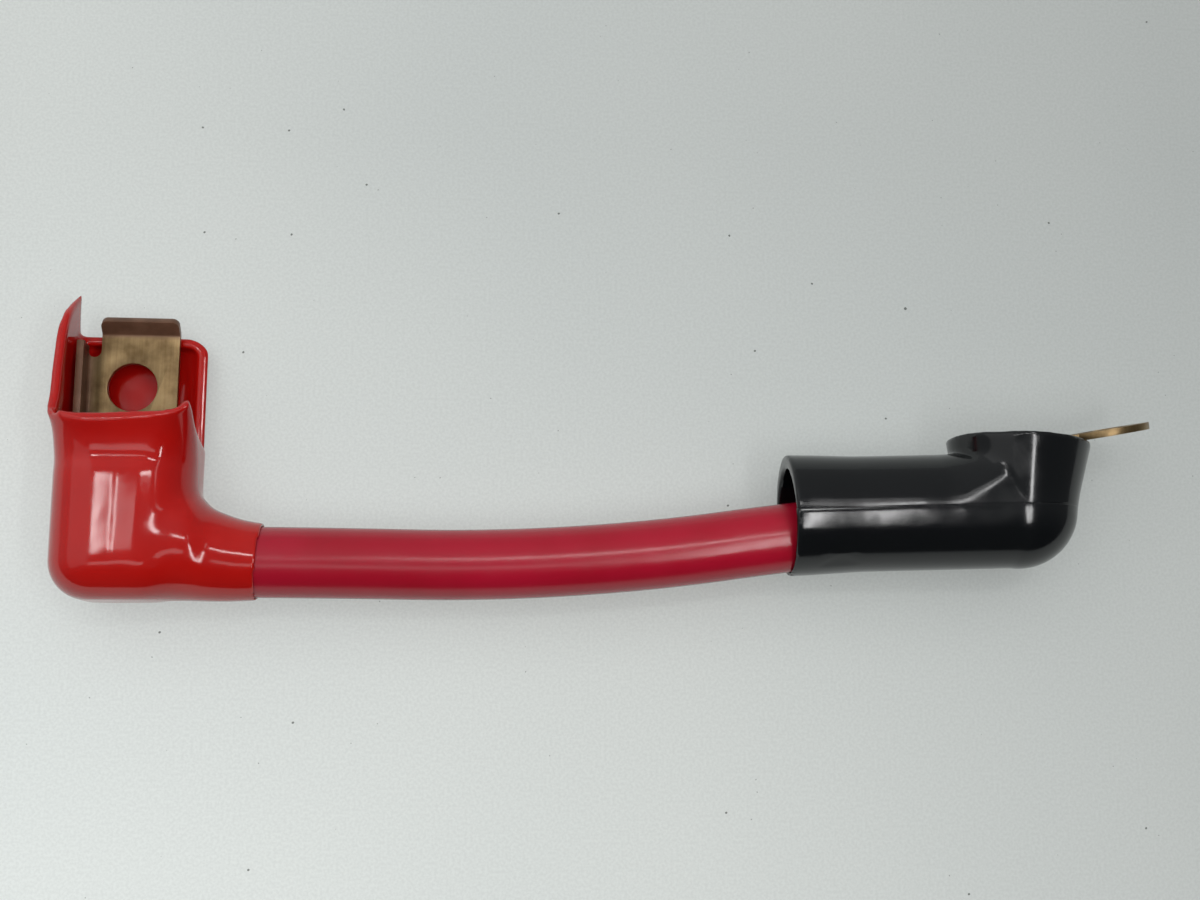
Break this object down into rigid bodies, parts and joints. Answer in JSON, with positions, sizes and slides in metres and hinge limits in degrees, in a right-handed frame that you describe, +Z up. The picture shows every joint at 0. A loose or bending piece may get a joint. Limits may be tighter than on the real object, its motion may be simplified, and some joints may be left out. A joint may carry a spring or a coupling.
{
  "type": "battery terminal cable",
  "caption": "Short insulated battery lead with a bent sheet-brass clamp terminal in a red elbow boot at one end and a ring terminal in a sliding black elbow boot at the other.",
  "frame": {"origin": "centre of the bounding box in plan, on the surface the part lies on", "axes": "+X along the lead to the ring terminal, +Y the way both boots open, +Z up from the surface, with the clamp terminal's plate and the red boot's window facing up"},
  "size_m": [0.1884, 0.0538, 0.0247],
  "materials": {
    "red_pvc": "glossy moulded soft PVC",
    "black_pvc": "semi-gloss moulded soft PVC",
    "crimson_insulation": "extruded PVC insulation, satin gloss",
    "sheet_brass": "rolled sheet, handled and dulled",
    "copper_strand": "bare copper strands"
  },
  "bodies": {
    "lead": {"red_boot": "red_pvc", "cable_jacket": "crimson_insulation", "clamp_terminal": "sheet_brass", "ring_terminal": "sheet_brass", "conductor_core": "copper_strand", "conductor_bunches": "copper_strand"},
    "sliding_boot": {"black_boot": "black_pvc"}
  },
  "joints": [
    {"name": "black_boot_slide", "type": "slide", "parent": "lead", "child": "sliding_boot", "axis": [0.9986, 0.0279, 0.0456], "range_m": [0, 0.01]}
  ]
}
